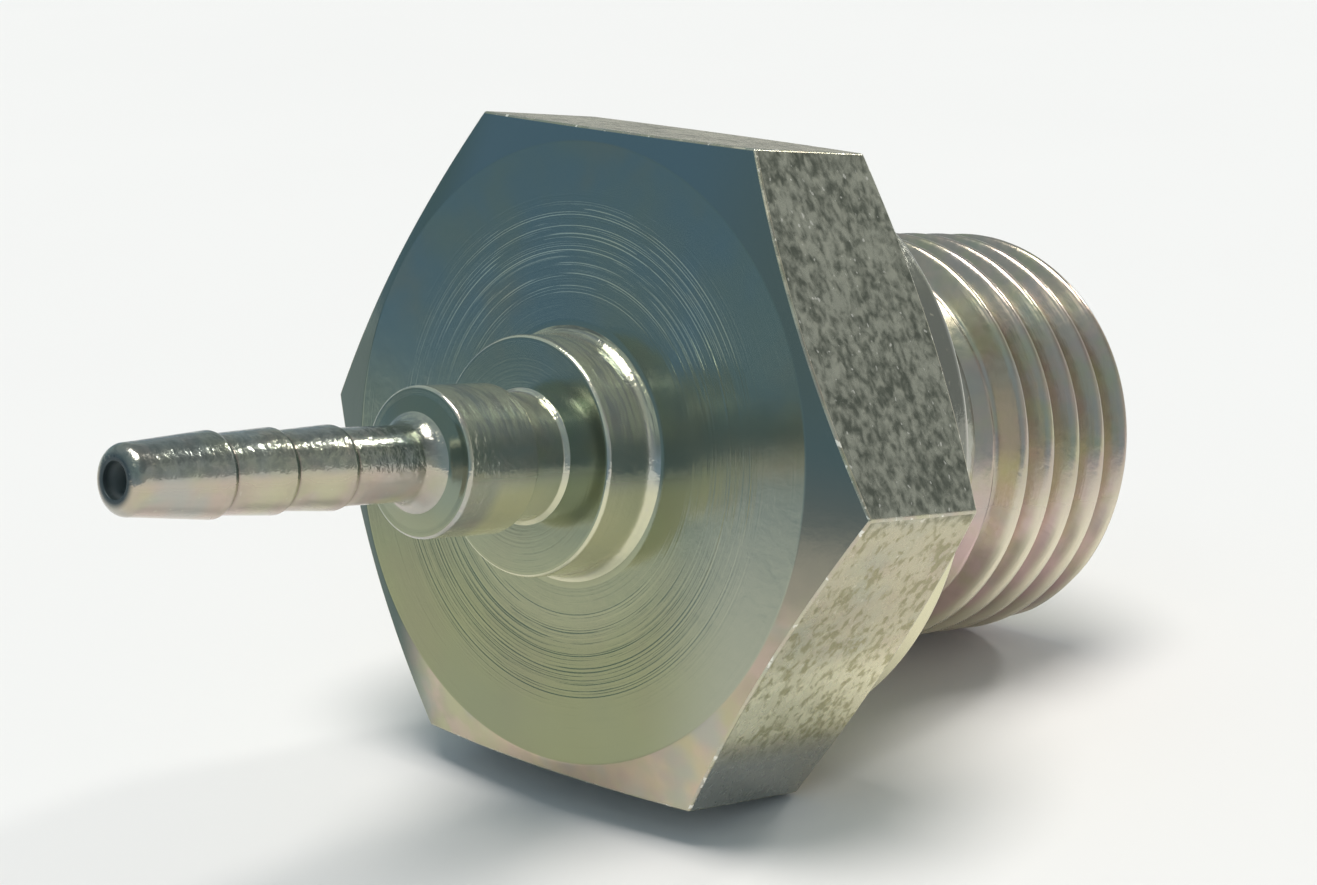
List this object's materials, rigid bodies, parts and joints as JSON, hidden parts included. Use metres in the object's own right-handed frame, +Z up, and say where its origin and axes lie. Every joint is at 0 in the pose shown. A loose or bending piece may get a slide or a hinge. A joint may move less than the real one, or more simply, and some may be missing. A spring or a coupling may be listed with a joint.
{
  "type": "crimp hose fitting",
  "caption": "One-piece male stud fitting for micro-bore hose: barbed tail and crimp seat, hexagon, sealing collar, undercut and parallel pipe thread with a coned port.",
  "frame": {"origin": "centre of the sealing face, on the fitting's axis", "axes": "+Z up and +X level towards the threaded end. The fitting lies as it comes to rest, so its axis stays in the XZ plane and dips 12.7 degrees below +X towards the thread. Two flats of the hexagon run along Y."},
  "size_m": [0.0364, 0.022, 0.0198],
  "materials": {
    "plated_steel": "zinc plated, yellow passivated, with fine turning marks"
  },
  "bodies": {
    "root": {"fitting_body": "plated_steel"}
  },
  "joints": []
}
